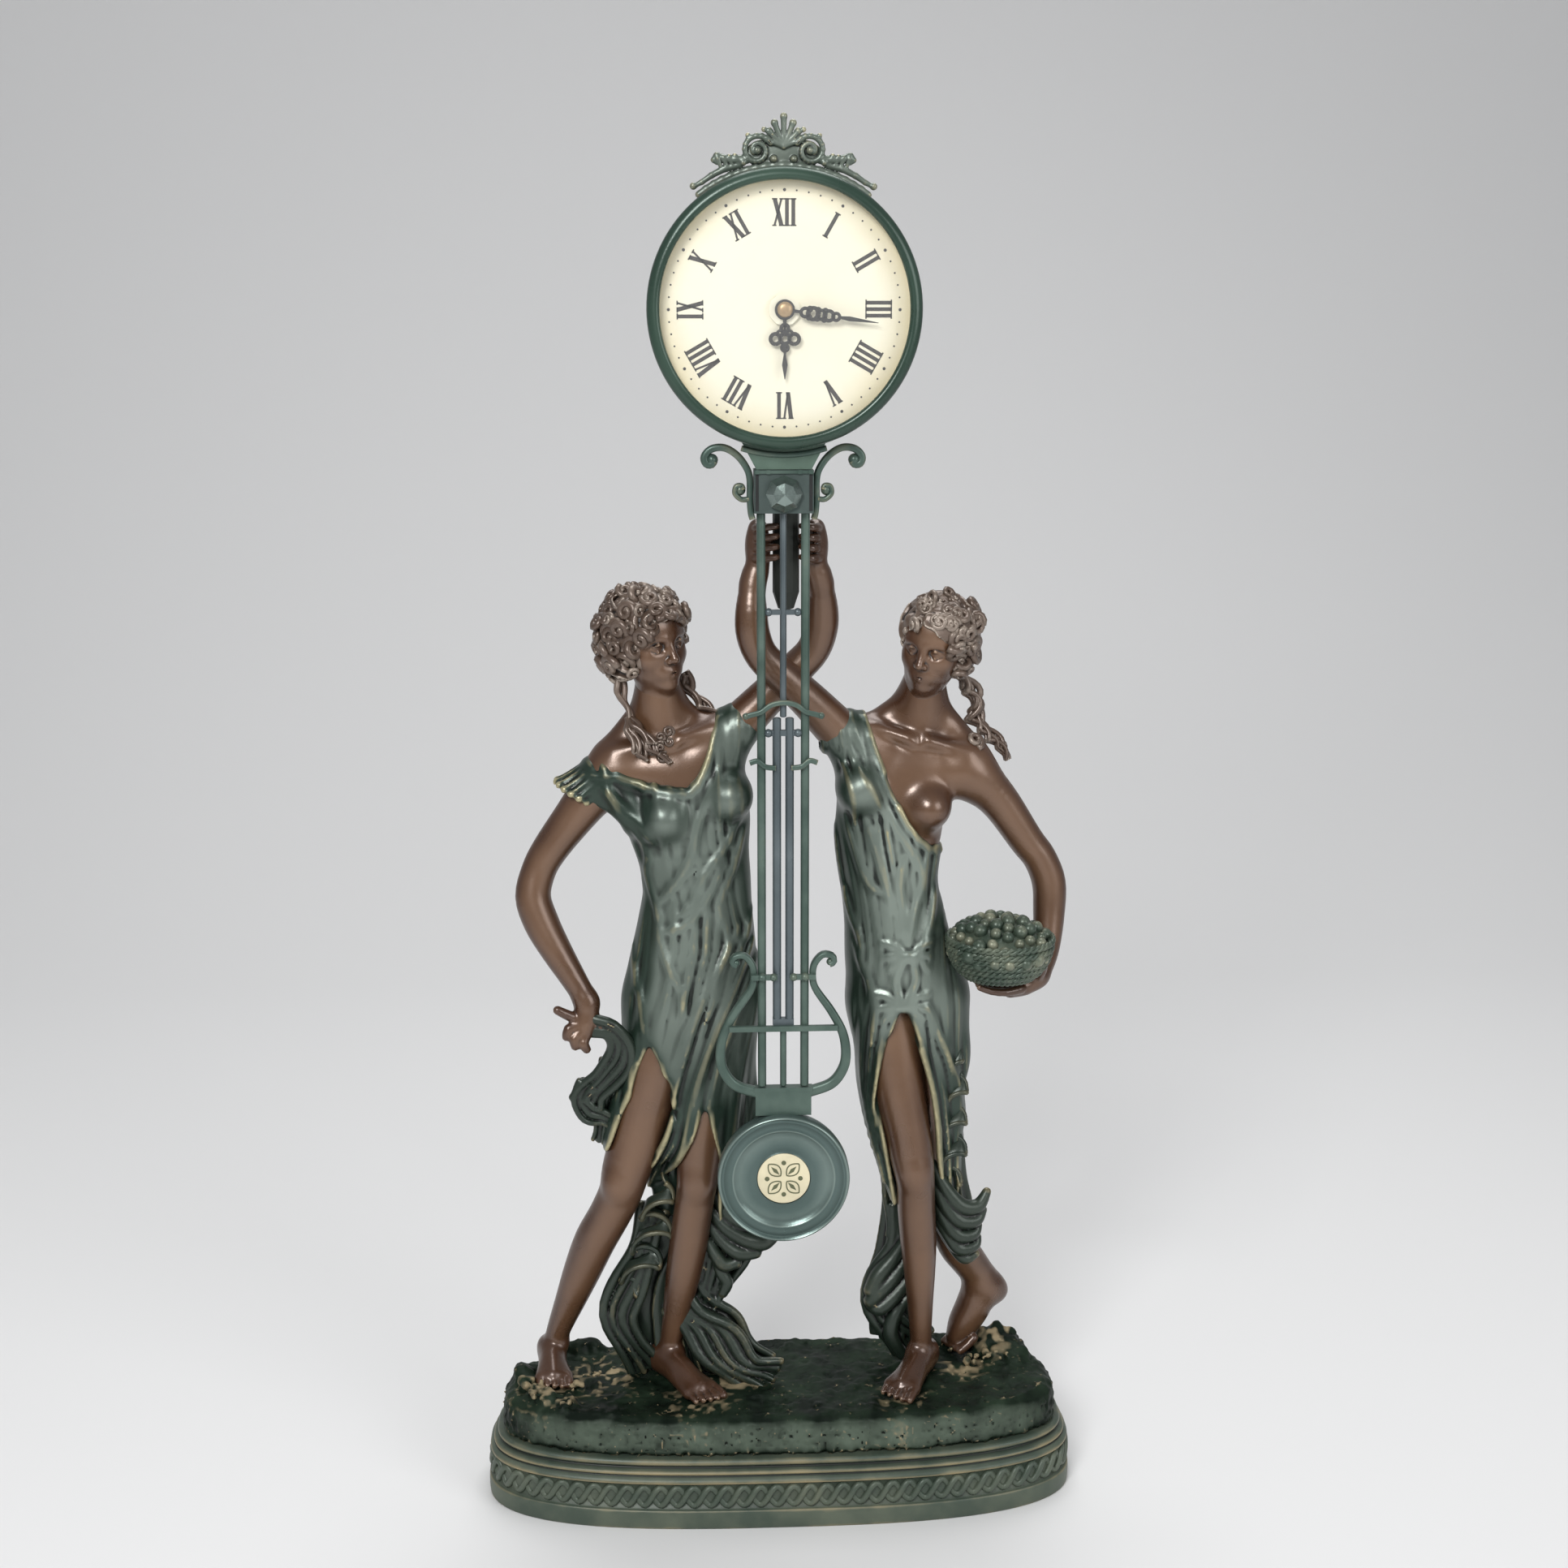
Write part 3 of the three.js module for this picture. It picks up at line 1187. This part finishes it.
function addHands() {
  const hourWidths = [
    [0, 1.6],
    [6, 1.1],
    [9, 2.6],
    [12, 4.8],
    [15, 5.2],
    [18, 3.4],
    [20, 1.1],
    [25, 1.5],
    [HOUR_HAND_LENGTH, 0.15],
  ];
  const hour = handForm(hourWidths, 13.5, 3, TUBE_RADIUS + SEAT, 4.4, HOUR_HAND_ANGLE, HOUR_HAND_FRONT);
  piece(head, "hour_hand", hour, FINISHES.black);
  const minuteWidths = [
    [0, 1.4],
    [7, 1],
    [10, 2.6],
    [13, 3],
    [16, 1.1],
    [19, 2.4],
    [22, 2.4],
    [25, 0.9],
    [29, 1.5],
    [32, 0.7],
    [MINUTE_HAND_LENGTH, 0.15],
  ];
  const bore = ARBOR_RADIUS + SEAT;
  const minute = handForm(minuteWidths, 11.5, 1.8, bore, 4, MINUTE_HAND_ANGLE, MINUTE_HAND_FRONT);
  piece(head, "minute_hand", minute, FINISHES.black);
  const nutBack = MINUTE_HAND_FRONT - SEAT;
  const cap = turned(
    [
      [0, nutBack - HAND_NUT_HEIGHT],
      [0.6 * HAND_NUT_RADIUS, nutBack - HAND_NUT_HEIGHT],
      [HAND_NUT_RADIUS, nutBack],
      [0, nutBack],
    ],
    20,
  );
  const socket = disc(bore, nutBack - HAND_NUT_HEIGHT + 0.7, nutBack + 1, 16);
  piece(head, "hand_nut", cut(cap, socket), FINISHES.brass);
}

function addRods() {
  const rodTop = -BLOCK_BELOW - SEAT;
  const neckSeat = -NECK_DROP + SEAT;
  for (const [name, x] of [["outer_rod_left", -OUTER_ROD_X], ["outer_rod_right", OUTER_ROD_X]]) {
    piece(swing, name, rod(x, 0, neckSeat, rodTop, OUTER_ROD_RADIUS), FINISHES.patina);
  }
  const stubReach = OUTER_ROD_X - OUTER_ROD_RADIUS - SEAT;
  const centreFoot = -ARCH_DROP - 6;
  const stub = box([-stubReach, -1, -STUB_DROP - 1.3], [stubReach, 1, -STUB_DROP + 1.3]);
  piece(swing, "centre_rod", join(rod(0, 0, centreFoot, rodTop, CENTRE_ROD_RADIUS), stub), FINISHES.steel);

  const innerTop = centreFoot - SEAT;
  const footTop = -INNER_FOOT_DROP;
  const footHalf = INNER_ROD_X + INNER_ROD_RADIUS;
  const collar = box([-stubReach, -1.2, innerTop - 9], [stubReach, 1.2, innerTop - 6]);
  const fork = join(
    rod(-INNER_ROD_X, 0, footTop - 1, innerTop, INNER_ROD_RADIUS),
    rod(INNER_ROD_X, 0, footTop - 1, innerTop, INNER_ROD_RADIUS),
    box([-footHalf, -INNER_ROD_RADIUS, footTop - INNER_FOOT_HEIGHT], [footHalf, INNER_ROD_RADIUS, footTop]),
    collar,
  );
  piece(swing, "inner_rods", fork, FINISHES.steel);
  const lowerTop = footTop - INNER_FOOT_HEIGHT - SEAT;
  piece(swing, "lower_centre_rod", rod(0, 0, neckSeat, lowerTop, CENTRE_ROD_RADIUS), FINISHES.patina);

  const clipY = -OUTER_ROD_RADIUS - SEAT - CLIP_DEPTH / 2;
  const half = [
    [0, -ARCH_DROP + 1.5],
    [6, -ARCH_DROP + 0.5],
    [11, -ARCH_DROP - 3],
    [16, -ARCH_DROP - 4],
    [ARCH_HALF_WIDTH, -ARCH_DROP - 5.5],
  ];
  const arch = [...mirrored(half.slice(1)).reverse(), ...half];
  piece(swing, "arch_bridge", scroll(arch, clipY, CLIP_HEIGHT, CLIP_DEPTH, 20), FINISHES.patina);
  const wave = [
    [INNER_ROD_X + 0.5, -WAVE_DROP - 1.5],
    [OUTER_ROD_X - 2, -WAVE_DROP - 1],
    [OUTER_ROD_X + 2, -WAVE_DROP + 2],
    [OUTER_ROD_X + 6, -WAVE_DROP + 1],
  ];
  for (const [name, place] of [["wave_clip_left", mirrored], ["wave_clip_right", (points) => points]]) {
    piece(swing, name, scroll(place(wave), clipY, CLIP_HEIGHT, CLIP_DEPTH, 10), FINISHES.patina);
  }

  const narrow = OUTER_ROD_X + OUTER_ROD_RADIUS + SEAT + LYRE_THICKNESS / 2;
  const armPath = [
    [NECK_HALF_WIDTH - 1, -NECK_DROP - 3],
    [24, -NECK_DROP + 1],
    [29.8, -NECK_DROP + 8.5],
    [31.4, -NECK_DROP + 17],
    [29.6, -NECK_DROP + 28],
    [24, -NECK_DROP + 39],
    [narrow + 1.4, -NECK_DROP + 51],
    [narrow, -LOWER_CLIP_DROP],
    [narrow + 1, -LOWER_CLIP_DROP + 6],
    [narrow + 5, -LOWER_CLIP_DROP + 10.5],
    [narrow + 10, -LOWER_CLIP_DROP + 9],
    [narrow + 9.5, -LOWER_CLIP_DROP + 5.5],
  ];
  const arms = [armPath, mirrored(armPath)].map((path) => scroll(path, 0, LYRE_THICKNESS, LYRE_DEPTH, 20));
  const barFront = -LYRE_DEPTH / 2 - CLIP_DEPTH;
  const barBack = -OUTER_ROD_RADIUS - SEAT;
  const crossbar = box([-27, barFront, -CROSSBAR_DROP - 1.5], [27, barBack, -CROSSBAR_DROP + 1.5]);
  const clips = [-1, 1].map((side) => {
    const ends = [side * INNER_ROD_X, side * (narrow + 1.4)].sort((a, b) => a - b);
    return box([ends[0], barFront, -LOWER_CLIP_DROP - 1.4], [ends[1], barBack, -LOWER_CLIP_DROP + 1.4]);
  });
  const neck = box(
    [-NECK_HALF_WIDTH, -LYRE_DEPTH / 2, -NECK_DROP - NECK_HEIGHT - 4],
    [NECK_HALF_WIDTH, LYRE_DEPTH / 2, -NECK_DROP],
  );
  const bobRoom = disc(BOB_RADIUS + SEAT, -10, 10, ROUND_SIDES, 0, -BOB_DROP);
  piece(swing, "lyre_frame", join(...arms, crossbar, ...clips, cut(neck, bobRoom)), FINISHES.patina);
}

function addBob() {
  const dishRadius = BOB_RADIUS - BOB_RIM;
  const pocket = ROUNDEL_RADIUS + SEAT;
  const front = -BOB_FRONT_DEPTH;
  const floor = front + BOB_DISH;
  const face = turned(
    [
      [0, 0],
      [BOB_RADIUS, 0],
      [BOB_RADIUS, front + 2],
      [BOB_RADIUS - 1.2, front],
      [dishRadius, front],
      [dishRadius - 1, front + 1.2],
      [dishRadius - 5, floor],
      [pocket + 2, floor - 1],
      [pocket, floor - 1],
      [pocket, floor + 0.5],
      [0, floor + 0.5],
    ],
    ROUND_SIDES,
    0,
    -BOB_DROP,
  );
  piece(swing, "bob_front", face, FINISHES.patina);
  const rear = turned(
    [
      [0, SEAT],
      [BOB_RADIUS, SEAT],
      [BOB_RADIUS - 1, BOB_BACK_DEPTH - 2],
      [BOB_RADIUS - 6, BOB_BACK_DEPTH],
      [0, BOB_BACK_DEPTH],
    ],
    ROUND_SIDES,
    0,
    -BOB_DROP,
  );
  piece(swing, "bob_back", rear, FINISHES.patina);
  const seat = floor + 0.5 - SEAT;
  const roundel = disc(ROUNDEL_RADIUS, seat - ROUNDEL_THICKNESS, seat, ROUND_SIDES, 0, -BOB_DROP);
  piece(swing, "bob_roundel", roundel, FINISHES.dial);
}

addBase();
addLeftFigure();
addRightFigure();
addSupport();
addPivotBlock();
addClockHead();
addMovement();
addHands();
addRods();
addBob();

export default clock;
